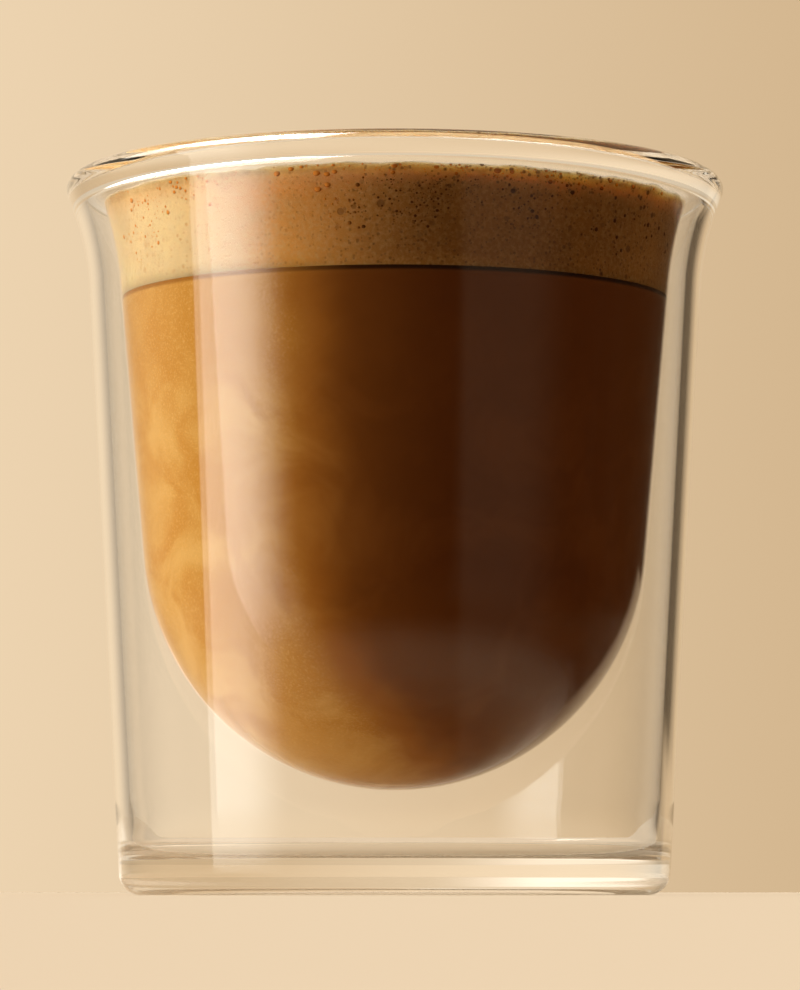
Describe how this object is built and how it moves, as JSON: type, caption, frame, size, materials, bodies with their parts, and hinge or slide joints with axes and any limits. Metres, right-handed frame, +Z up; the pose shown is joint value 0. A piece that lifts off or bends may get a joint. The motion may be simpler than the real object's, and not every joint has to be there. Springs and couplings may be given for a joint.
{
  "type": "americano",
  "caption": "Americano in a double-walled clear glass: brown coffee under a thick pale crema in a round-bottomed bowl that hangs inside a flared outer wall.",
  "frame": {"origin": "middle of the glass's foot, on the surface that it stands on", "axes": "+Z up along the axis of revolution; +X and +Y level, alike all round"},
  "size_m": [0.085, 0.085, 0.0922],
  "materials": {
    "glass": "clear borosilicate, fire-polished",
    "coffee": "cloudy brown liquid, amber where light comes through",
    "crema": "fine tan foam with small bubbles"
  },
  "bodies": {
    "root": {"glass": "glass", "coffee": "coffee", "crema": "crema"}
  },
  "joints": []
}
